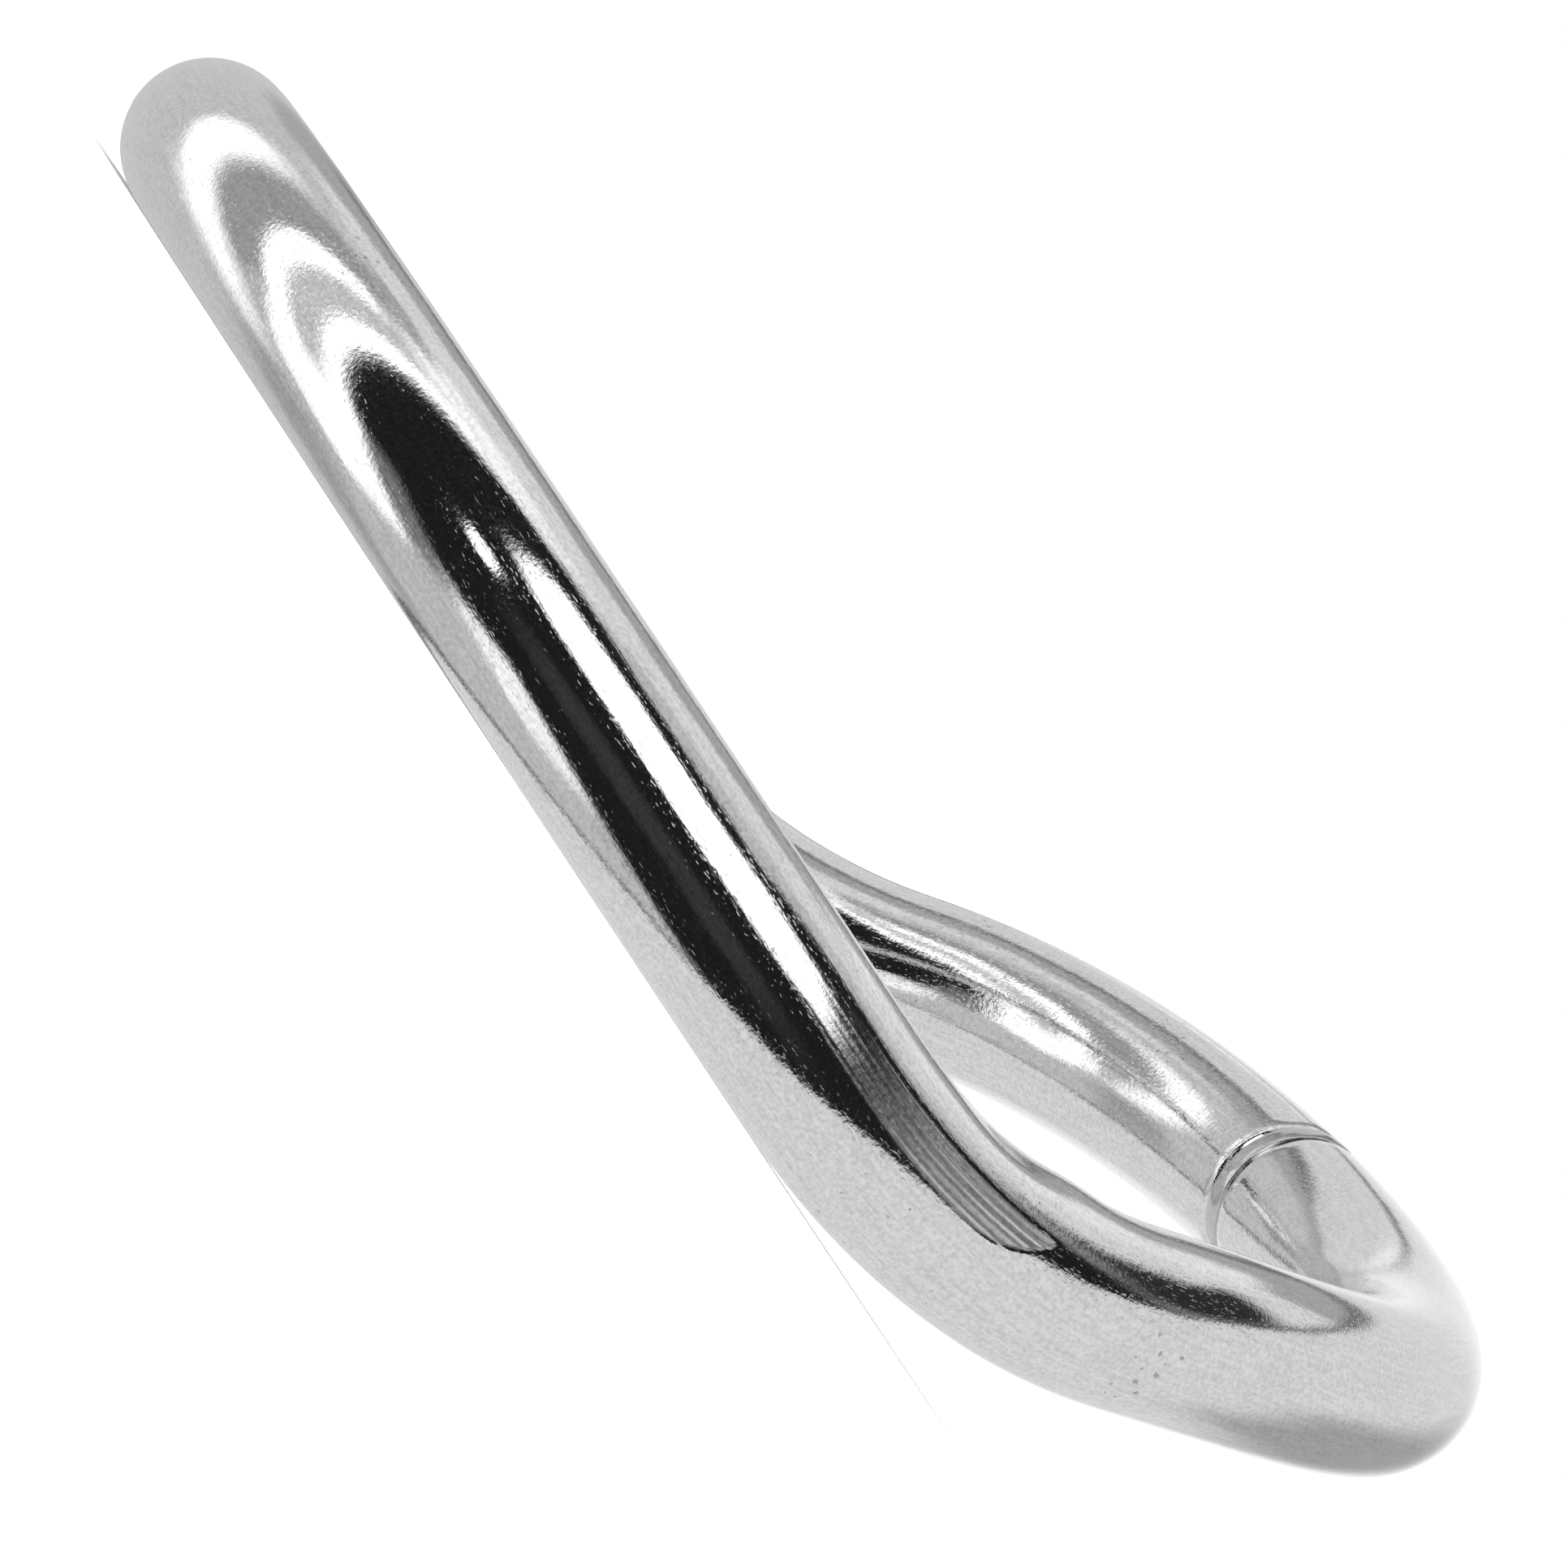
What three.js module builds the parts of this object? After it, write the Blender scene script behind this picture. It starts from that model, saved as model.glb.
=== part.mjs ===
// A puzzle ring made of one length of round steel wire. The wire is rolled into
// a circle, butt-welded shut and bent across its middle, so that one half lies
// flat and the other half rises from it as a loop.
// Millimetres, +Z up. The flat half rests on z = 0 and the loop rises towards +X.

import * as THREE from 'three';

// ---- Driving dimensions ----

const WIRE_DIAMETER = 4;
const RING_RADIUS = 19.4; // of the wire's centre line, in the flat circle
const FOLD_START = 0.7; // from the middle of the flat circle, towards the loop
const FOLD_LENGTH = 9; // length of wire layout that the fold takes up
const FOLD_ANGLE = THREE.MathUtils.degToRad(37); // slope of the loop where the fold ends
const FOLD_TWIST = THREE.MathUtils.degToRad(0.3); // extra slope per mm towards +Y
const EASE_RADIUS = 32.5; // of the gentle downward curve from the fold to the loop's tip
const WELD_ANGLE = THREE.MathUtils.degToRad(21); // round the flat circle, from the loop's tip
const WELD_WIDTH = 0.5;
const WELD_DIAMETER = 4.1;
const WELD_GAP = 0.3; // from each face of the weld to the wire's end

const WIRE_SIDES = 16;
const WIRE_STEPS = 120;
const WELD_SIDES = 24;
const LENGTH_SAMPLES = 720; // for spacing the steps evenly along the wire

// ---- Materials ----

const platedWire = new THREE.MeshStandardMaterial({
  color: 0xc9cacb,
  metalness: 1,
  roughness: 0.12,
});

const weldMetal = new THREE.MeshStandardMaterial({
  color: 0x9a9a99,
  metalness: 1,
  roughness: 0.35,
});

// ---- The wire's centre line ----

// The place on the folded ring of the point at an angle of the flat circle.
// Seen from the side, the line is straight, then an upward arc FOLD_LENGTH
// long, then a downward arc of EASE_RADIUS, each tangent to the one before.
// The fold is a little sharper on the +Y side, which leaves the loop twisted.
function ringPoint(angle, target) {
  const flatX = RING_RADIUS * Math.cos(angle);
  const flatY = RING_RADIUS * Math.sin(angle);
  const foldAngle = FOLD_ANGLE + FOLD_TWIST * flatY;
  const foldRadius = FOLD_LENGTH / foldAngle;
  const reach = Math.max(flatX - FOLD_START, 0);
  const bend = Math.min(reach, FOLD_LENGTH) / foldRadius;
  const slope = foldAngle - Math.max(reach - FOLD_LENGTH, 0) / EASE_RADIUS;
  const foldX = foldRadius * Math.sin(bend);
  const foldZ = foldRadius * (1 - Math.cos(bend));
  const easeX = EASE_RADIUS * (Math.sin(foldAngle) - Math.sin(slope));
  const easeZ = EASE_RADIUS * (Math.cos(slope) - Math.cos(foldAngle));
  return target.set(flatX - reach + foldX + easeX, flatY, foldZ + easeZ);
}

// The stretch of the folded ring between two angles of the flat circle.
class RingPath extends THREE.Curve {
  constructor(startAngle, endAngle) {
    super();
    this.startAngle = startAngle;
    this.endAngle = endAngle;
    this.arcLengthDivisions = LENGTH_SAMPLES;
  }

  getPoint(t, target = new THREE.Vector3()) {
    return ringPoint(THREE.MathUtils.lerp(this.startAngle, this.endAngle, t), target);
  }
}

// ---- The two pieces ----

// A regular section whose flat sides touch the round wire, turned so that one
// of them faces down all along the flat half.
function wireSection(path) {
  const frames = path.computeFrenetFrames(WIRE_STEPS, false);
  const middle = Math.round(WIRE_STEPS / 2);
  const down = new THREE.Vector3(0, 0, -1);
  const turn = Math.atan2(down.dot(frames.binormals[middle]), down.dot(frames.normals[middle]));
  const cornerRadius = WIRE_DIAMETER / 2 / Math.cos(Math.PI / WIRE_SIDES);
  const corners = [];
  for (let side = 0; side < WIRE_SIDES; side += 1) {
    const angle = turn + ((side + 0.5) * 2 * Math.PI) / WIRE_SIDES;
    corners.push(new THREE.Vector2(Math.cos(angle), Math.sin(angle)).multiplyScalar(cornerRadius));
  }
  return new THREE.Shape(corners);
}

// The rolled and folded wire, an open C whose two ends face the weld.
function makeRingWire() {
  const halfOpening = (WELD_WIDTH / 2 + WELD_GAP) / RING_RADIUS;
  const path = new RingPath(WELD_ANGLE + halfOpening, WELD_ANGLE + 2 * Math.PI - halfOpening);
  const geometry = new THREE.ExtrudeGeometry(wireSection(path), {
    extrudePath: path,
    steps: WIRE_STEPS,
  });
  const mesh = new THREE.Mesh(geometry, platedWire);
  mesh.name = 'ring_wire';
  return mesh;
}

// The butt weld, a thin disc a little wider than the wire, square to it.
function makeButtWeld() {
  const radius = WELD_DIAMETER / 2;
  const geometry = new THREE.CylinderGeometry(radius, radius, WELD_WIDTH, WELD_SIDES);
  const mesh = new THREE.Mesh(geometry, weldMetal);
  const along = new RingPath(WELD_ANGLE - 0.01, WELD_ANGLE + 0.01).getTangent(0.5);
  mesh.name = 'butt_weld';
  ringPoint(WELD_ANGLE, mesh.position);
  mesh.quaternion.setFromUnitVectors(new THREE.Vector3(0, 1, 0), along);
  return mesh;
}

// ---- Assembly, with the origin below the middle of its box ----

const puzzleRing = new THREE.Group();
puzzleRing.add(makeRingWire(), makeButtWeld());

const box = new THREE.Box3().setFromObject(puzzleRing);
const middle = box.getCenter(new THREE.Vector3());
puzzleRing.position.set(-middle.x, -middle.y, -box.min.z);

export default puzzleRing;
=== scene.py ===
# A puzzle ring of thick, bright nickel-plated steel wire. One closed ring is folded
# across its middle: the flat half lies on the floor and the loop rises from it.
# Metres, +Z up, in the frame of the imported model.

import math

import bmesh
import bpy
import numpy as np
from mathutils import Matrix, Vector


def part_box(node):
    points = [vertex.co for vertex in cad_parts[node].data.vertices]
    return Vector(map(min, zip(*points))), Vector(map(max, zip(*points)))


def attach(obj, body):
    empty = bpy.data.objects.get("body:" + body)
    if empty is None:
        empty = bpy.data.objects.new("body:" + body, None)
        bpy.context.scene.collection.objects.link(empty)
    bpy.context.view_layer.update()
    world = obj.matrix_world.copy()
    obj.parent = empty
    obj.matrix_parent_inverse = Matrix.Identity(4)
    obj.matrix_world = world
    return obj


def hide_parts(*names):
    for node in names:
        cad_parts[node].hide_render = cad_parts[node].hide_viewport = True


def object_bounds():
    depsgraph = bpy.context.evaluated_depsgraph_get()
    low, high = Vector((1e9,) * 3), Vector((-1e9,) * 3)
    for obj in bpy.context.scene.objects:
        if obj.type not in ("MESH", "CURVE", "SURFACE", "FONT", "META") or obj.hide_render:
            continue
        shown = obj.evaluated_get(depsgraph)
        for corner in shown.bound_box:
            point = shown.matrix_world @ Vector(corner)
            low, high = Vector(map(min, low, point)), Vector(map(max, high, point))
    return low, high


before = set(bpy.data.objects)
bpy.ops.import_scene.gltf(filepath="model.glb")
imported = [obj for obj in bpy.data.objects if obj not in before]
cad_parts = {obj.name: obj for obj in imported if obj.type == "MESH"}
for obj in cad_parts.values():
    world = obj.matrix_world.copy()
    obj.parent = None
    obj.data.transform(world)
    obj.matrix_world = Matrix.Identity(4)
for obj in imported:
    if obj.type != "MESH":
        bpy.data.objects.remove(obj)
cad_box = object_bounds()

# ---- The camera ------------------------------------------------------------------
# A long lens close to the floor, turned on its side so that the flat half of the ring
# climbs to the upper left. Its place is given from below the middle of the ring's box.

MM = 0.001
CAMERA_PLACE = Vector((-44.984, -203.066, 1.193)) * MM
CAMERA_YAW = 0.2196
CAMERA_PITCH = 0.0176
CAMERA_ROLL = 0.986
CAMERA_LENS = 213.78

box_low, box_high = (Vector(corner) for corner in cad_box)
below_middle = Vector(((box_low.x + box_high.x) / 2, (box_low.y + box_high.y) / 2, box_low.z))
camera = bpy.data.objects.new("camera", bpy.data.cameras.new("camera"))
camera.data.lens = CAMERA_LENS
camera.data.sensor_width = 36
camera.data.clip_start = 0.01
camera.data.clip_end = 20
camera.matrix_world = (
    Matrix.Translation(below_middle + CAMERA_PLACE)
    @ Matrix.Rotation(-CAMERA_YAW, 4, "Z")
    @ Matrix.Rotation(math.pi / 2 + CAMERA_PITCH, 4, "X")
    @ Matrix.Rotation(CAMERA_ROLL, 4, "Z")
)
bpy.context.scene.collection.objects.link(camera)
bpy.context.scene.camera = camera
bpy.context.scene.view_settings.view_transform = "Standard"

# ---- The ring's wire --------------------------------------------------------------
# Round drawn steel wire, 4 mm thick, rolled into a circle, folded between a punch and a
# block, and nickel-plated bright. The tools left a long scrape at each fold, and a dent inside one.

# Lengths in mm. Angles in radians, except the weld's, which is in degrees.
WIRE_RADIUS = 2.0
RING_RADIUS = 19.4
FOLD_START = 0.7
FOLD_LENGTH = 9.0
FOLD_ANGLE = math.radians(37)
FOLD_TWIST = math.radians(0.3)
EASE_RADIUS = 32.5
WELD_ANGLE = 21.0
WELD_HALF_OPENING = 0.29
END_ROUNDING = 0.05
SLOPE_STEP = 0.02  # degrees

wire_low, wire_high = (Vector(corner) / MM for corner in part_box("ring_wire"))
RING_CENTRE = (
    wire_low.x + RING_RADIUS + WIRE_RADIUS,
    (wire_low.y + wire_high.y) / 2,
    wire_low.z + WIRE_RADIUS,
)


def centre_line(degrees):
    """Points of the folded ring's centre line, in mm, for angles round the flat circle.

    Seen from the side: straight, then an upward arc FOLD_LENGTH long, then a downward
    arc of EASE_RADIUS, each tangent to the last. The fold is sharper towards +Y.
    """
    angle = np.radians(degrees)
    flat_x = RING_RADIUS * np.cos(angle)
    flat_y = RING_RADIUS * np.sin(angle)
    fold_angle = FOLD_ANGLE + FOLD_TWIST * flat_y
    fold_radius = FOLD_LENGTH / fold_angle
    reach = np.maximum(flat_x - FOLD_START, 0)
    bend = np.minimum(reach, FOLD_LENGTH) / fold_radius
    slope = fold_angle - np.maximum(reach - FOLD_LENGTH, 0) / EASE_RADIUS
    x = flat_x - reach + fold_radius * np.sin(bend)
    x = x + EASE_RADIUS * (np.sin(fold_angle) - np.sin(slope))
    z = fold_radius * (1 - np.cos(bend)) + EASE_RADIUS * (np.cos(slope) - np.cos(fold_angle))
    return np.stack([x, flat_y, z], axis=-1) + np.array(RING_CENTRE)


def wire_axes(degrees):
    """The level outward axis and the upward axis, both square to the wire's direction.

    The direction is the slope of the centre line, outward is direction x vertical, and
    upward is outward x direction.
    """
    along = centre_line(degrees + SLOPE_STEP) - centre_line(degrees - SLOPE_STEP)
    along /= np.linalg.norm(along, axis=-1, keepdims=True)
    outward = np.cross(along, [0.0, 0.0, 1.0])
    outward /= np.linalg.norm(outward, axis=-1, keepdims=True)
    return outward, np.cross(outward, along)


def smooth_step(value, low, high):
    """0 below low and 1 above high, with the cubic 3t^2 - 2t^3 between them."""
    t = np.clip((value - low) / (high - low), 0, 1)
    return t * t * (3 - 2 * t)


FINE_STEPS = 4000


def spaced(low, high, count, density):
    """count values from low to high, as close together as density(value) is high.

    They are the even quantiles of the running sum of the density.
    """
    fine = np.linspace(low, high, FINE_STEPS)
    weight = density(fine)
    total = np.concatenate([[0], np.cumsum((weight[1:] + weight[:-1]) / 2)])
    return np.interp(np.linspace(0, total[-1], count), total, fine)


# The scrape, in degrees round the section and degrees along the ring.
SCRAPE_TOP = 38.0
SCRAPE_BOTTOM = 8.5
SCRAPE_EDGE = 2.2
SCRAPE_FADE = (-6.0, 11.0)
SCRAPE_STOP = (18.1, 18.5)
TIP_START = 10.0
TIP_LENGTH = 8.6
TIP_RISE = 30.0
TIP_CURVE = 3.2
# Its depth in mm, how much of the round it flattens, and where its ridges turn.
SCRAPE_DEPTH = 0.036
FLATTENED = 0.55
FLAT_REACH = 20
RIDGE_TURN = 0.16
TURN_START = 8
TURN_LENGTH = 20
RIDGES = ((0.011, 1.25, 0.0), (0.006, 2.1, 1.0))  # height in mm, radians a degree, start


def scrape(station, section):
    """Depth in mm and cover, 0 to 1, of the long scrape on the outside of a fold.

    station is in degrees from the fold's middle towards the loop, section in degrees
    up from the outward side. The scrape is a flat strip with a straight upper edge; its
    lower edge swings up to meet it in a blunt tip. Fine ridges, a sum of sines, run
    along its floor.
    """
    lower = SCRAPE_BOTTOM + TIP_RISE * np.clip((station - TIP_START) / TIP_LENGTH, 0, 1) ** TIP_CURVE
    inside = smooth_step(section, lower, lower + SCRAPE_EDGE)
    inside = inside * smooth_step(-section, -SCRAPE_TOP, SCRAPE_EDGE - SCRAPE_TOP)
    fade = smooth_step(station, *SCRAPE_FADE) * smooth_step(-station, -SCRAPE_STOP[1], -SCRAPE_STOP[0])
    cover = inside * fade
    middle = (SCRAPE_TOP + lower) / 2
    off_middle = np.clip(abs(section - middle), 0, FLAT_REACH)
    flat = WIRE_RADIUS * (1 - np.cos(np.radians(off_middle)))
    turned = section - RIDGE_TURN * np.clip(station - TURN_START, 0, TURN_LENGTH)
    ridges = sum(height * np.sin(turned * rate + start) for height, rate, start in RIDGES)
    return cover * (SCRAPE_DEPTH - FLATTENED * flat + ridges), cover


# The dent and its rim: heights in mm, then the middle and the width in degrees along
# the ring, and round the section.
DENT_DEPTH = 0.13
DENT_ALONG = (13.0, 5.0)
DENT_ROUND = (84, 18)
RIM_HEIGHT = 0.07
RIM_ALONG = (20.0, 3.2)
RIM_ROUND = (104, 18)


def bell(value, middle, width):
    """e to the power of minus the square of the distance from middle, in widths."""
    return np.exp(-(((value - middle) / width) ** 2))


def dent(station, section):
    """Depth in mm of the punch's dent on the inside of a fold, with a rim beyond it.

    It is a long smooth bell-shaped hollow, less a low hump where the metal was pushed up.
    """
    hollow = bell(station, *DENT_ALONG) * bell(section, *DENT_ROUND)
    rim = bell(station, *RIM_ALONG) * bell(section, *RIM_ROUND)
    return DENT_DEPTH * hollow - RIM_HEIGHT * rim


NO_SCRAPE = -400  # degrees, far from any fold
SWELLS = ((0.0016, 23, 2, 0.0), (0.0012, 41, -3, 1.3))  # height in mm, waves along and round, start


def wire_relief(stations, sections):
    """Height in mm of the wire's surface above its true round, and how worn it is.

    The scrapes of both folds and the dent of the -Y one are taken away. The wire's own
    slow waviness, a few thousandths of a millimetre, is a sum of sines.
    """
    near = (stations + 180) % 360 - 180
    height = 0
    worn = 0
    for side in (-1, 1):
        from_fold = np.where(near * side > 0, 90 - abs(near), NO_SCRAPE)
        depth, cover = scrape(from_fold, sections)
        height = height - depth
        worn = worn + cover
    height = height - np.where(near < 0, dent(90 + near, sections), 0)
    for swell, waves_along, waves_round, start in SWELLS:
        wave = np.radians(stations * waves_along + sections * waves_round) + start
        height = height + swell * np.sin(wave)
    return height, worn


def tube_faces(rows, columns):
    """Quads of a tube whose points are numbered row by row, closed round each row."""
    row = np.arange(rows - 1)[:, None]
    column = np.arange(columns)[None, :]
    beside = (column + 1) % columns
    corners = [row * columns + column, row * columns + beside]
    corners += [(row + 1) * columns + beside, (row + 1) * columns + column]
    return np.stack(corners, axis=-1).reshape(-1, 4)


def end_faces(rows, columns):
    """Triangles that close both ends of a tube, each fanned round a centre point.

    The two centre points are numbered just after the tube's own, the first row's first.
    """
    fans = []
    for first, centre, order in ((0, 0, 1), ((rows - 1) * columns, 1, -1)):
        rim = first + np.arange(columns)
        centres = np.full(columns, rows * columns + centre)
        fan = np.stack([centres, np.roll(rim, -1), rim], axis=-1)
        fans += fan[:, ::order].tolist()
    return fans


def add_mesh(name, points, faces):
    """A smooth-shaded mesh object from points in mm and faces of equal or mixed sizes."""
    mesh = bpy.data.meshes.new(name)
    mesh.from_pydata((points * MM).tolist(), [], faces)
    mesh.shade_smooth()
    piece = bpy.data.objects.new(name, mesh)
    bpy.context.scene.collection.objects.link(piece)
    return piece


def store(piece, name, kind, values):
    """One value a point, kept on the mesh for its material to read."""
    layer = piece.data.attributes.new(name, kind, "POINT")
    layer.data.foreach_set("vector" if kind == "FLOAT_VECTOR" else "value", values.ravel())


ROWS = 860
COLUMNS = 100
UNDERSIDE = -90
CROWDING = 4
FOLD_CROWD = (8, 14)  # middle and half width of the crowded part, in degrees
SCRAPE_CROWD = (24, 20)


def crowding(value, middle, half_width):
    """1 + CROWDING times e to the power of minus (distance from middle in half widths)^4."""
    return 1 + CROWDING * np.exp(-(((value - middle) / half_width) ** 4))


def fold_density(stations):
    """Rows of points are five times as close together at the two folds."""
    return crowding(90 - abs((stations + 180) % 360 - 180), *FOLD_CROWD)


def scrape_density(sections):
    """Columns of points are five times as close together where the scrapes are."""
    return crowding(sections, *SCRAPE_CROWD)


opening = math.degrees(WELD_HALF_OPENING / RING_RADIUS)
stations = spaced(WELD_ANGLE + opening, WELD_ANGLE + 360 - opening, ROWS, fold_density)
sections = spaced(UNDERSIDE, UNDERSIDE + 360, COLUMNS + 1, scrape_density)[:-1]
place = centre_line(stations)
outward, upward = wire_axes(stations)
length_along = np.concatenate([[0], np.cumsum(np.linalg.norm(np.diff(place, axis=0), axis=1))])
from_end = np.minimum(length_along, length_along[-1] - length_along)
# The edge of each end follows a quarter circle.
rounding = END_ROUNDING - np.sqrt(
    np.maximum(END_ROUNDING**2 - np.maximum(END_ROUNDING - from_end, 0) ** 2, 0)
)
relief, worn = wire_relief(stations[:, None], sections[None, :])
radius = WIRE_RADIUS + relief - rounding[:, None]
across = np.cos(np.radians(sections))[None, :, None] * outward[:, None]
across = across + np.sin(np.radians(sections))[None, :, None] * upward[:, None]
skin = place[:, None] + radius[..., None] * across
# Each point's place on the wire if it were pulled straight: along, outward and up.
straight = np.stack(
    [
        length_along[:, None] + 0 * radius,
        radius * np.cos(np.radians(sections)),
        radius * np.sin(np.radians(sections)),
    ],
    axis=-1,
)
wire = add_mesh(
    "ring_wire_plated",
    np.concatenate([skin.reshape(-1, 3), place[[0, -1]]]),
    tube_faces(ROWS, COLUMNS).tolist() + end_faces(ROWS, COLUMNS),
)
store(wire, "straight", "FLOAT_VECTOR", np.concatenate([straight.reshape(-1, 3), np.zeros((2, 3))]))
store(wire, "worn", "FLOAT", np.concatenate([worn.ravel(), np.zeros(2)]))


def linear(code):
    """An sRGB hex code as linear red, green, blue and a full alpha."""
    parts = [int(code[i : i + 2], 16) / 255 for i in (1, 3, 5)]
    return [p / 12.92 if p <= 0.04045 else ((p + 0.055) / 1.055) ** 2.4 for p in parts] + [1.0]


def add(tree, kind, settings=None, **links):
    """A node of that kind with its settings.

    links give a value or an output per input, by name, or by number as i0, i1 and on.
    """
    node = tree.nodes.new(kind)
    for name, value in (settings or {}).items():
        setattr(node, name, value)
    for name, source in links.items():
        key = int(name[1:]) if name[0] == "i" and name[1:].isdigit() else name.replace("_", " ")
        if isinstance(source, bpy.types.NodeSocket):
            tree.links.new(source, node.inputs[key])
        else:
            node.inputs[key].default_value = source
    return node


# Bright nickel plate on drawn wire: a mirror, but with the fine grain of the steel
# showing through. That gives band edges that fray, pin-point glints in the dark
# bands, faint lengthwise lines from the die, and loose clusters of small grey pits.
# Sizes in mm. The glints are drawn as coarse as they need to be to show.
GRAIN = 0.10
SKIN_RIPPLE = 0.7
PATCH = 3.5
DIE_LINES_A_MM = 11.0
DIE_STRETCH = (0.07, 1.0, 1.0)
GLINT = 0.04
GLINT_STRETCH = (0.25, 1.0, 1.0)
PIT_SPACING = 0.3
PIT_EDGE = 0.0625
# How high each stands, in mm.
GRAIN_HEIGHT = 0.0026
RIPPLE_HEIGHT = 0.0035
LINE_HEIGHT = 0.0022
GLINT_HEIGHT = 0.0015
PIT_HEIGHT = -0.003
# Where each starts and is full, as a level of its noise, and how the noises mix.
GLINT_RANGE = (0.75, 0.90)
GLINTS_BY_PATCH = 0.25
PIT_RANGE = (-0.42, -0.33)
PIT_RAGGEDNESS = 0.55
PITS_BY_PATCH = -1.15
TARNISH_RANGE = (0.38, 0.6)
TARNISH_BY_LINES = 0.4
TARNISH_BY_GRAIN = 0.6
ROUGH_RANGE = (0.3, 0.75)
# Roughness where smoothest and coarsest, and what glints and wear add to it.
SMOOTHEST = 0.04
COARSEST = 0.11
GLINT_ROUGHNESS = 0.16
WEAR_ROUGHNESS = 0.32
TARNISHED = "#d8d8d7"
CLEAN = "#f3f3f3"
PIT_GREY = "#b4b2b0"

plate = bpy.data.materials.new("bright_nickel_plate")
plate.use_nodes = True
tree = plate.node_tree
shader = tree.nodes["Principled BSDF"]
on_wire = add(tree, "ShaderNodeAttribute", {"attribute_name": "straight"}).outputs["Vector"]
wear = add(tree, "ShaderNodeAttribute", {"attribute_name": "worn"}).outputs["Fac"]
grain = add(tree, "ShaderNodeTexNoise", Vector=on_wire, Scale=1 / GRAIN, Detail=2.0, Roughness=0.6)
ripple = add(tree, "ShaderNodeTexNoise", Vector=on_wire, Scale=1 / SKIN_RIPPLE, Detail=1.0)
patches = add(tree, "ShaderNodeTexNoise", Vector=on_wire, Scale=1 / PATCH, Detail=2.0)
drawn_out = add(
    tree, "ShaderNodeVectorMath", {"operation": "MULTIPLY"}, i0=on_wire, i1=DIE_STRETCH
)
die_lines = add(
    tree, "ShaderNodeTexNoise", Vector=drawn_out.outputs[0], Scale=DIE_LINES_A_MM, Detail=3.0,
    Roughness=0.7,
)
half_drawn = add(
    tree, "ShaderNodeVectorMath", {"operation": "MULTIPLY"}, i0=on_wire, i1=GLINT_STRETCH
)
glint_noise = add(
    tree, "ShaderNodeTexNoise", Vector=half_drawn.outputs[0], Scale=1 / GLINT, Detail=1.0
)
glint_share = add(
    tree, "ShaderNodeMath", {"operation": "MULTIPLY_ADD"}, i0=patches.outputs["Fac"],
    i1=GLINTS_BY_PATCH, i2=glint_noise.outputs["Fac"],
)
glints = add(
    tree, "ShaderNodeMapRange", {"interpolation_type": "SMOOTHSTEP"}, i0=glint_share.outputs[0],
    i1=GLINT_RANGE[0], i2=GLINT_RANGE[1], i3=0.0, i4=1.0,
)
pits = add(tree, "ShaderNodeTexVoronoi", Vector=on_wire, Scale=1 / PIT_SPACING)
pit_edge = add(tree, "ShaderNodeTexNoise", Vector=on_wire, Scale=1 / PIT_EDGE, Detail=3.0)
pit_ragged = add(
    tree, "ShaderNodeMath", {"operation": "MULTIPLY_ADD"}, i0=pit_edge.outputs["Fac"],
    i1=PIT_RAGGEDNESS, i2=pits.outputs["Distance"],
)
pit_sparse = add(
    tree, "ShaderNodeMath", {"operation": "MULTIPLY_ADD"}, i0=patches.outputs["Fac"],
    i1=PITS_BY_PATCH, i2=pit_ragged.outputs[0],
)
pit_mask = add(
    tree, "ShaderNodeMapRange", {"interpolation_type": "SMOOTHSTEP"}, i0=pit_sparse.outputs[0],
    i1=PIT_RANGE[0], i2=PIT_RANGE[1], i3=1.0, i4=0.0,
)
lines_share = add(
    tree, "ShaderNodeMath", {"operation": "MULTIPLY"}, i0=die_lines.outputs["Fac"],
    i1=TARNISH_BY_LINES,
)
tarnish = add(
    tree, "ShaderNodeMath", {"operation": "MULTIPLY_ADD"}, i0=grain.outputs["Fac"],
    i1=TARNISH_BY_GRAIN, i2=lines_share.outputs[0],
)
tarnish_range = add(
    tree, "ShaderNodeMapRange", i0=tarnish.outputs[0],
    i1=TARNISH_RANGE[0], i2=TARNISH_RANGE[1], i3=0.0, i4=1.0,
)
clean = add(
    tree, "ShaderNodeMix", {"data_type": "RGBA"}, i0=tarnish_range.outputs[0],
    i6=linear(TARNISHED), i7=linear(CLEAN),
)
colour = add(
    tree, "ShaderNodeMix", {"data_type": "RGBA"}, i0=pit_mask.outputs[0],
    i6=clean.outputs[2], i7=linear(PIT_GREY),
)
tree.links.new(colour.outputs[2], shader.inputs["Base Color"])
shader.inputs["Metallic"].default_value = 1.0
fine_rough = add(
    tree, "ShaderNodeMapRange", i0=grain.outputs["Fac"],
    i1=ROUGH_RANGE[0], i2=ROUGH_RANGE[1], i3=SMOOTHEST, i4=COARSEST,
)
with_wear = add(
    tree, "ShaderNodeMath", {"operation": "MULTIPLY_ADD"}, i0=wear, i1=WEAR_ROUGHNESS,
    i2=fine_rough.outputs[0],
)
rough = add(
    tree, "ShaderNodeMath", {"operation": "MULTIPLY_ADD"}, i0=glints.outputs[0], i1=GLINT_ROUGHNESS,
    i2=with_wear.outputs[0],
)
tree.links.new(rough.outputs[0], shader.inputs["Roughness"])
grain_height = add(
    tree, "ShaderNodeMath", {"operation": "MULTIPLY"}, i0=grain.outputs["Fac"], i1=GRAIN_HEIGHT
)
with_ripple = add(
    tree, "ShaderNodeMath", {"operation": "MULTIPLY_ADD"}, i0=ripple.outputs["Fac"],
    i1=RIPPLE_HEIGHT, i2=grain_height.outputs[0],
)
with_lines = add(
    tree, "ShaderNodeMath", {"operation": "MULTIPLY_ADD"}, i0=die_lines.outputs["Fac"],
    i1=LINE_HEIGHT, i2=with_ripple.outputs[0],
)
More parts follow.
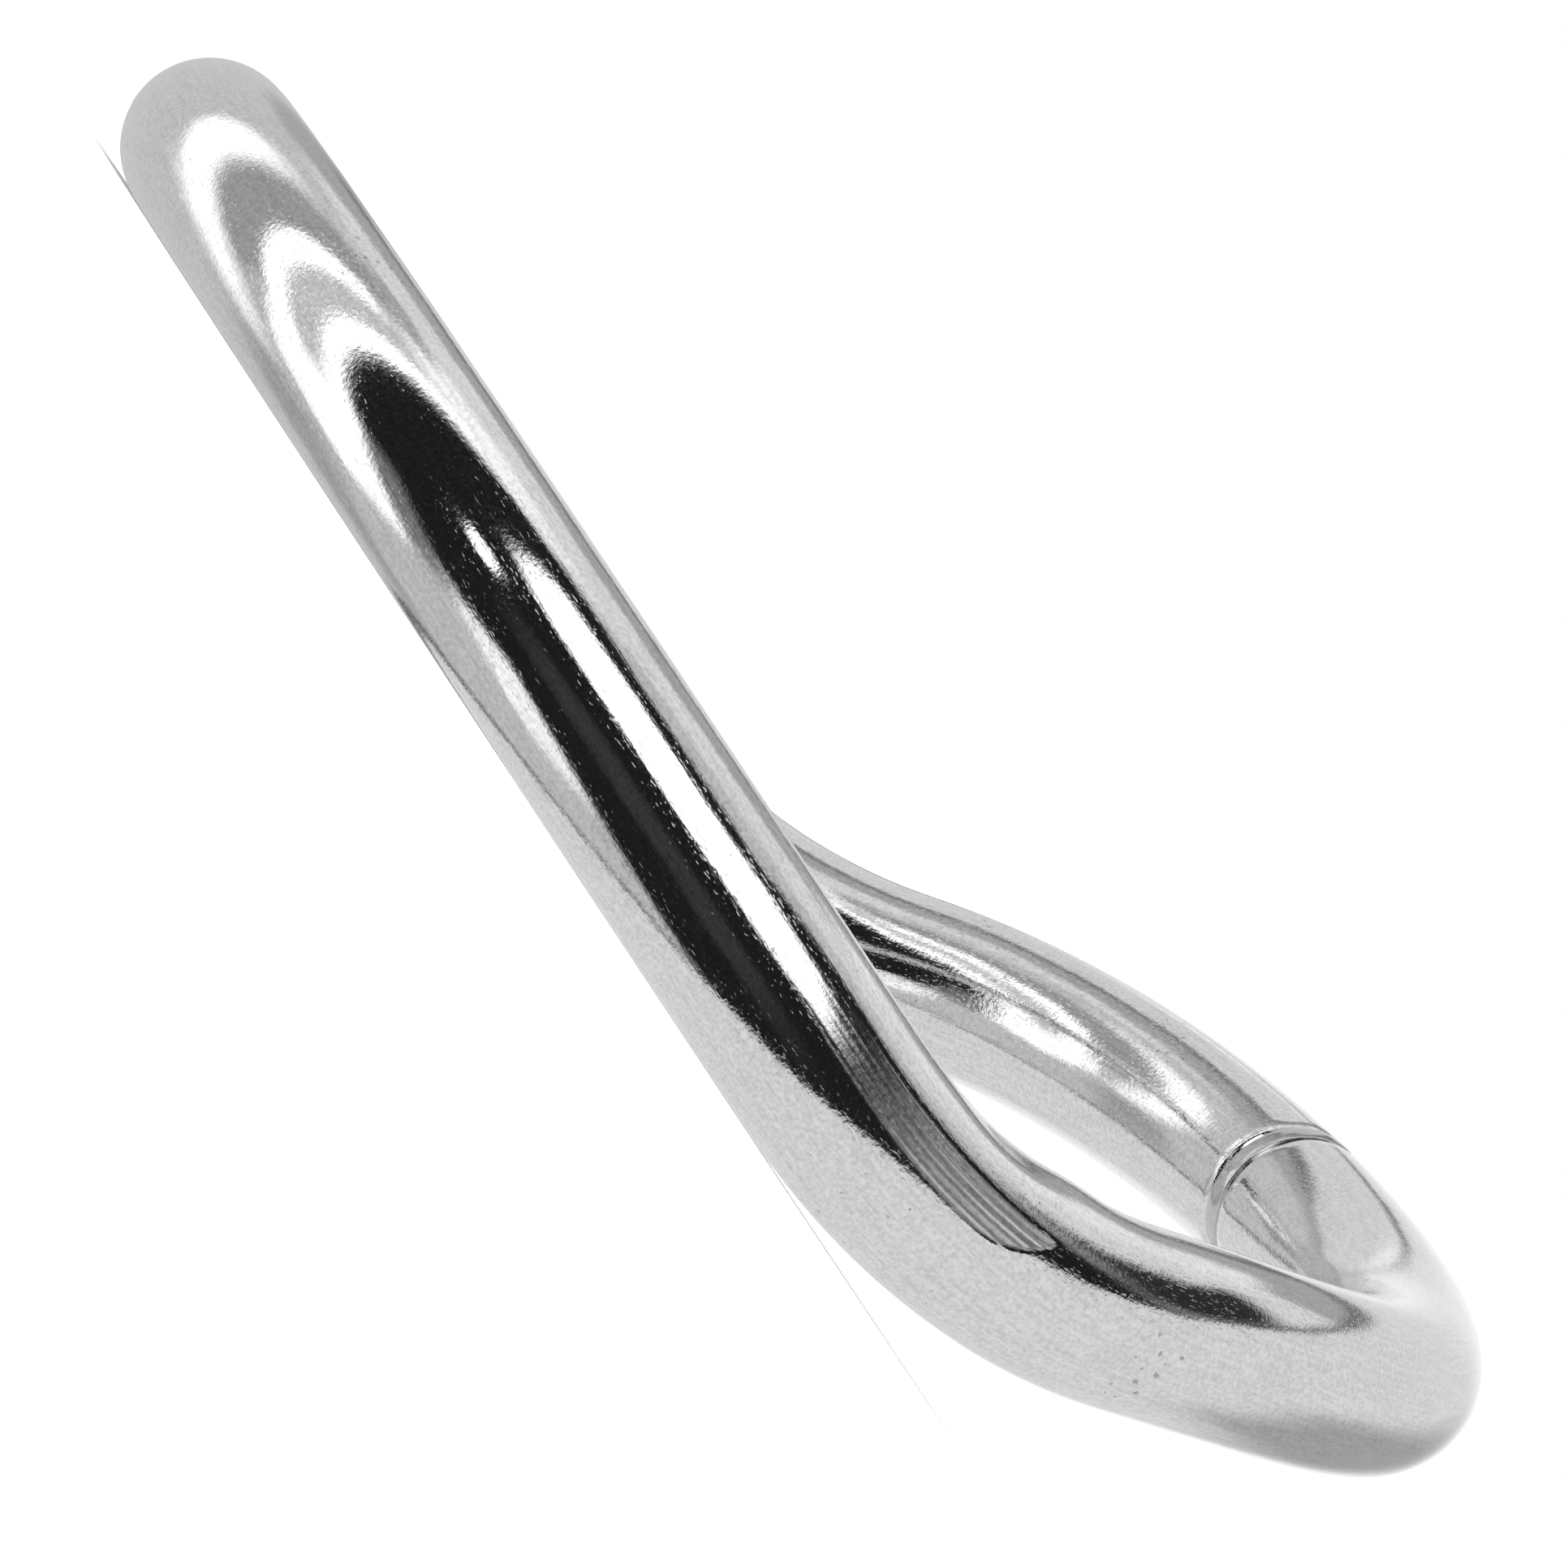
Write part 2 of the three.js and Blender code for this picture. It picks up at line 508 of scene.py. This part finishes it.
with_glints = add(
    tree, "ShaderNodeMath", {"operation": "MULTIPLY_ADD"}, i0=glints.outputs[0], i1=GLINT_HEIGHT,
    i2=with_lines.outputs[0],
)
with_pits = add(
    tree, "ShaderNodeMath", {"operation": "MULTIPLY_ADD"}, i0=pit_mask.outputs[0], i1=PIT_HEIGHT,
    i2=with_glints.outputs[0],
)
bump = add(tree, "ShaderNodeBump", Strength=1.0, Distance=MM, Height=with_pits.outputs[0])
tree.links.new(bump.outputs[0], shader.inputs["Normal"])
wire.data.materials.append(plate)
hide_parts("ring_wire")
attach(wire, "root")

# ---- The butt weld ----------------------------------------------------------------
# The two ends of the wire were butted and resistance-welded into a ring. A thin, barely
# proud band of weld metal shows between two fine grooves.

WELD_RADIUS = 2.01
WELD_CROWN = 0.05
CROWN_POWER = 2.5
WELD_REACH = 0.56
WELD_LUMPS = ((0.0048, 7, 0, 1.0), (0.004, 13, 4, 0.0))  # height in mm, waves round, twist, start
WELD_ROWS = 25
WELD_COLUMNS = 96
weld_stations = np.linspace(-1, 1, WELD_ROWS)
weld_sections = np.linspace(UNDERSIDE, UNDERSIDE + 360, WELD_COLUMNS + 1)[:-1]
weld_degrees = WELD_ANGLE + np.degrees(weld_stations * WELD_REACH / 2 / RING_RADIUS)
weld_place = centre_line(weld_degrees)
weld_outward, weld_upward = wire_axes(weld_degrees)
# The band's crown is a flattened arch across it, with a sum of sines for its lumps.
arch = np.sqrt(np.maximum(1 - np.abs(weld_stations) ** CROWN_POWER, 0))[:, None]
weld_turn = np.radians(weld_sections)[None, :]
lumps = sum(
    height * np.sin(weld_turn * waves + twist * weld_stations[:, None] + start)
    for height, waves, twist, start in WELD_LUMPS
)
weld_radius = WELD_RADIUS - WELD_CROWN + arch * (WELD_CROWN + lumps)
weld_across = np.cos(weld_turn)[..., None] * weld_outward[:, None]
weld_across = weld_across + np.sin(weld_turn)[..., None] * weld_upward[:, None]
weld_skin = weld_place[:, None] + weld_radius[..., None] * weld_across
weld = add_mesh(
    "weld_band",
    np.concatenate([weld_skin.reshape(-1, 3), weld_place[[0, -1]]]),
    tube_faces(WELD_ROWS, WELD_COLUMNS).tolist() + end_faces(WELD_ROWS, WELD_COLUMNS),
)

# Resistance-weld metal under nickel plate: its faint mottle and slight roughness make
# the band a little greyer and less sharp in its reflections than the wire.
MOTTLES_A_MM = 6.0
MOTTLE_HEIGHT = 0.006  # mm
MOTTLE_RANGE = (0.3, 0.7)
WELD_SMOOTHEST = 0.12
WELD_COARSEST = 0.22
weld_metal = bpy.data.materials.new("plated_weld_metal")
weld_metal.use_nodes = True
tree = weld_metal.node_tree
shader = tree.nodes["Principled BSDF"]
where = add(tree, "ShaderNodeTexCoord").outputs["Object"]
mottle = add(tree, "ShaderNodeTexNoise", Vector=where, Scale=MOTTLES_A_MM / MM, Detail=3.0)
tone = add(
    tree, "ShaderNodeMix", {"data_type": "RGBA"}, i0=mottle.outputs["Fac"],
    i6=linear("#bdbcba"), i7=linear("#dededd"),
)
tree.links.new(tone.outputs[2], shader.inputs["Base Color"])
shader.inputs["Metallic"].default_value = 1.0
weld_rough = add(
    tree, "ShaderNodeMapRange", i0=mottle.outputs["Fac"],
    i1=MOTTLE_RANGE[0], i2=MOTTLE_RANGE[1], i3=WELD_SMOOTHEST, i4=WELD_COARSEST,
)
tree.links.new(weld_rough.outputs[0], shader.inputs["Roughness"])
weld_bump = add(
    tree, "ShaderNodeBump", Strength=1.0, Distance=MOTTLE_HEIGHT * MM,
    Height=mottle.outputs["Fac"],
)
tree.links.new(weld_bump.outputs[0], shader.inputs["Normal"])
weld.data.materials.append(weld_metal)
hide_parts("butt_weld")
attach(weld, "root")

# ---- The floor --------------------------------------------------------------------
# A plain white sheet under the ring, lit from above by a wide soft lamp. Neither shows
# in the plating, which mirrors only the tent.

FLOOR_HALF = 3.0  # metres
LAMP_STRENGTH = 3.6
LAMP_SPREAD = 80  # degrees

floor_mesh = bpy.data.meshes.new("floor")
floor_mesh.from_pydata(
    [(x * FLOOR_HALF, y * FLOOR_HALF, box_low.z) for x, y in ((-1, -1), (1, -1), (1, 1), (-1, 1))],
    [],
    [(0, 1, 2, 3)],
)
floor = bpy.data.objects.new("floor", floor_mesh)
bpy.context.scene.collection.objects.link(floor)
floor.visible_glossy = False
paper = bpy.data.materials.new("white_paper")
paper.use_nodes = True
shader = paper.node_tree.nodes["Principled BSDF"]
shader.inputs["Base Color"].default_value = linear("#f4f4f4")
shader.inputs["Roughness"].default_value = 0.9
shader.inputs["Specular IOR Level"].default_value = 0.0
floor_mesh.materials.append(paper)

lamp = bpy.data.objects.new("overhead_light", bpy.data.lights.new("overhead_light", "SUN"))
lamp.data.energy = LAMP_STRENGTH
lamp.data.angle = math.radians(LAMP_SPREAD)
lamp.visible_glossy = False
bpy.context.scene.collection.objects.link(lamp)

# ---- The studio -------------------------------------------------------------------
# A light tent leaning towards -X: a pale table on its +X side, white panels and strips
# on its -X side, and a dark front with one soft lamp and one small one.

TENT_UP = Vector((-0.857, 0.0, 0.515))
TENT_AHEAD = Vector((0.0666, 0.9916, 0.1108))
TENT_RIGHT = TENT_AHEAD.cross(TENT_UP)

world = bpy.data.worlds.new("white_room")
bpy.context.scene.world = world
world.use_nodes = True
world.node_tree.nodes["Background"].inputs["Color"].default_value = (1.0, 1.0, 1.0, 1.0)

# The tent's skin stands close round the ring, so that each part of the wire sees its
# panels from its own side. Only the plating's reflections meet it.
TENT_MIDDLE = Vector(RING_CENTRE) + Vector((-11.0, -13.0, 3.0))
TENT_RADIUS = 55.0
globe = bmesh.new()
bmesh.ops.create_uvsphere(globe, u_segments=96, v_segments=48, radius=TENT_RADIUS * MM)
bmesh.ops.translate(globe, vec=TENT_MIDDLE * MM, verts=globe.verts)
tent_mesh = bpy.data.meshes.new("light_tent")
globe.to_mesh(tent_mesh)
globe.free()
tent = bpy.data.objects.new("light_tent", tent_mesh)
bpy.context.scene.collection.objects.link(tent)
tent.visible_camera = False
tent.visible_diffuse = False
tent.visible_shadow = False

cloth = bpy.data.materials.new("tent_cloth")
cloth.use_nodes = True
cloth.cycles.emission_sampling = "NONE"
tree = cloth.node_tree
tree.nodes.remove(tree.nodes["Principled BSDF"])
on_tent = add(tree, "ShaderNodeTexCoord").outputs["Object"]
from_middle = add(
    tree, "ShaderNodeVectorMath", {"operation": "SUBTRACT"}, i0=on_tent, i1=TENT_MIDDLE * MM
)
direction = add(
    tree, "ShaderNodeVectorMath", {"operation": "NORMALIZE"}, i0=from_middle.outputs[0]
).outputs[0]


def bearings(right, ahead, above):
    """Degrees to the right of ahead, and degrees above the level, of each direction.

    They are the arc tangent of its parts along right and ahead, and the arc sine of its
    part along above.
    """
    parts = [
        add(
            tree, "ShaderNodeVectorMath", {"operation": "DOT_PRODUCT"}, i0=direction, i1=axis
        ).outputs["Value"]
        for axis in (right, ahead, above)
    ]
    across = add(tree, "ShaderNodeMath", {"operation": "ARCTAN2"}, i0=parts[0], i1=parts[1])
    height = add(tree, "ShaderNodeMath", {"operation": "ARCSINE"}, i0=parts[2])
    return [
        add(tree, "ShaderNodeMath", {"operation": "DEGREES"}, i0=angle.outputs[0]).outputs[0]
        for angle in (across, height)
    ]


upright = bearings(Vector((1, 0, 0)), Vector((0, 1, 0)), Vector((0, 0, 1)))
leaning = bearings(TENT_RIGHT, TENT_AHEAD, TENT_UP)

# Each panel: its bearings, the middle and half width across, the middle and half
# height, how soft its edge is, all in degrees, how bright it is, and how far its
# middle shifts across for each degree up. Each is a rectangle with rounded corners.
BACKDROP = 0.58
PANELS = (
    # the tent's back and top
    (upright, -45, 58, 62, 18, 6, 0.95, 0),
    (upright, -72, 20, 54, 12, 5, 1.10, -0.6),
    (upright, -28, 22, 46, 12, 4, 0.80, 0),
    (upright, -22, 24, -48, 8, 4, 0.40, 0),
    (upright, -14, 21, 0, 36, 3, 0.60, 0),
    # bands one inside another, towards its right side
    (leaning, 45, 42, 5, 45, 3, 0.78, 0),
    (leaning, 27, 31, 3, 28, 2, 0.42, 0),
    (leaning, 18, 17, 0, 17, 1.5, 0.22, 0),
    (leaning, 15, 14.5, -2, 13, 1.5, 0.72, 0),
    (leaning, 56, 9, 1, 5, 2, 0.90, 0),
    (upright, 36, 12, 9, 11, 3, 1.10, 0),
    # the white strips and the darker gaps on its left side
    (upright, -46, 10, -27, 15, 3, 0.90, 0.1),
    (upright, -44, 5.5, -8, 29, 2, 1.40, 0.1),
    (upright, -58.5, 8.2, 8, 36, 1.5, 0.36, 0.1),
    (upright, -51, 9, 43, 6, 3, 0.42, -0.5),
    (upright, -79, 19, -41, 17, 3, 1.40, -0.1),
    (upright, -62, 3, -31, 9, 2, 0.50, -0.6),
    (upright, -70.5, 4.5, 3, 32, 1.0, 1.60, 0.08),
    (upright, -79.2, 5.2, 4, 35, 1.0, 0.62, 0.05),
    (upright, -87.5, 4.0, 8, 42, 1.0, 1.60, 0.06),
    # the dark front
    (upright, -150, 58.5, 10.5, 57.5, 3, 0.014, 0),
    (leaning, 163, 65, -8, 34, 2, 0.014, 0),
    (leaning, 85, 12, -10, 8, 2.5, 0.03, -0.5),
    (leaning, -121, 9, -6, 11, 3, 1.10, 0),
    (leaning, -108, 6, 16, 12, 3, 0.20, 0),
    (upright, -167, 30, -14, 9, 3, 0.042, 0),
    # its two lamps
    (upright, -165, 40, 35, 17.5, 2, 1.8, 0),
    (upright, -125.5, 3.6, -1, 5, 0.8, 2.0, 0),
)


def draw_panel(below, bearing, middle, half_width, centre, half_height, soft, strength, lean):
    """One panel laid over the glow below it.

    Its mask is how far (x^4 + y^4)^(1/4) is under 1, where x and y are the offsets from
    its middle in half widths and half heights.
    """
    across, height = bearing
    rise = add(tree, "ShaderNodeMath", {"operation": "SUBTRACT"}, i0=height, i1=centre)
    shifted = add(
        tree, "ShaderNodeMath", {"operation": "MULTIPLY_ADD"}, i0=rise.outputs[0], i1=-lean, i2=across
    )
    offset = add(tree, "ShaderNodeMath", {"operation": "SUBTRACT"}, i0=shifted.outputs[0], i1=middle)
    turned = add(
        tree, "ShaderNodeMath", {"operation": "WRAP"}, i0=offset.outputs[0], i1=180.0, i2=-180.0
    )
    fourths = []
    for distance, half in ((turned, half_width), (rise, half_height)):
        share = add(tree, "ShaderNodeMath", {"operation": "DIVIDE"}, i0=distance.outputs[0], i1=half)
        square = add(
            tree, "ShaderNodeMath", {"operation": "MULTIPLY"}, i0=share.outputs[0], i1=share.outputs[0]
        )
        fourths.append(
            add(
                tree, "ShaderNodeMath", {"operation": "MULTIPLY"},
                i0=square.outputs[0], i1=square.outputs[0],
            ).outputs[0]
        )
    total = add(tree, "ShaderNodeMath", {"operation": "ADD"}, i0=fourths[0], i1=fourths[1])
    outwards = add(tree, "ShaderNodeMath", {"operation": "POWER"}, i0=total.outputs[0], i1=0.25)
    edge = soft / min(half_width, half_height)
    mask = add(
        tree, "ShaderNodeMapRange", {"interpolation_type": "SMOOTHSTEP"},
        i0=outwards.outputs[0], i1=1 - edge, i2=1 + edge, i3=1.0, i4=0.0,
    )
    return add(
        tree, "ShaderNodeMix", {"data_type": "FLOAT"}, i0=mask.outputs[0], i2=below, i3=strength
    ).outputs[0]


level = BACKDROP
for panel in PANELS:
    level = draw_panel(level, *panel)

# The pale table fills what is more than TABLE_EDGE along this nearly downward direction,
# and round its edge runs a thin band of painted shade, standing for the shadow there.
TABLE_DOWN = TENT_RIGHT * 0.108 + TENT_AHEAD * 0.138 - TENT_UP * 0.984
TABLE_EDGE = 0.43
TABLE_SOFT = 0.012
TABLE_SHADE_BAND = 0.032
TABLE_GLOW = 0.76
EDGE_SHADE_SHARE = 0.3  # of the glow it crosses
downwards = add(
    tree, "ShaderNodeVectorMath", {"operation": "DOT_PRODUCT"}, i0=direction, i1=TABLE_DOWN
)
masks = [
    add(
        tree, "ShaderNodeMapRange", {"interpolation_type": "SMOOTHSTEP"},
        i0=downwards.outputs["Value"], i1=start - TABLE_SOFT, i2=start + TABLE_SOFT, i3=0.0, i4=1.0,
    ).outputs[0]
    for start in (TABLE_EDGE - TABLE_SHADE_BAND, TABLE_EDGE)
]
# The painted shade along the table's edge keeps only this share of the glow it crosses.
dimmed = add(tree, "ShaderNodeMath", {"operation": "MULTIPLY"}, i0=level, i1=EDGE_SHADE_SHARE)
edge_shade = add(
    tree, "ShaderNodeMix", {"data_type": "FLOAT"}, i0=masks[0], i2=level, i3=dimmed.outputs[0]
)
level = add(
    tree, "ShaderNodeMix", {"data_type": "FLOAT"}, i0=masks[1], i2=edge_shade.outputs[0], i3=TABLE_GLOW
).outputs[0]

# On the table lie a soft shadow and, across its far part, a bright patch.
TABLE_MARKS = (
    (upright, 70, 15, 1, 10, 4, 0.40, 0),
    (upright, 38, 13, 2, 14, 5, 0.98, 0),
)
for panel in TABLE_MARKS:
    level = draw_panel(level, *panel)
shining = add(tree, "ShaderNodeEmission", Strength=level)
tree.links.new(shining.outputs[0], tree.nodes["Material Output"].inputs["Surface"])
tent_mesh.materials.append(cloth)
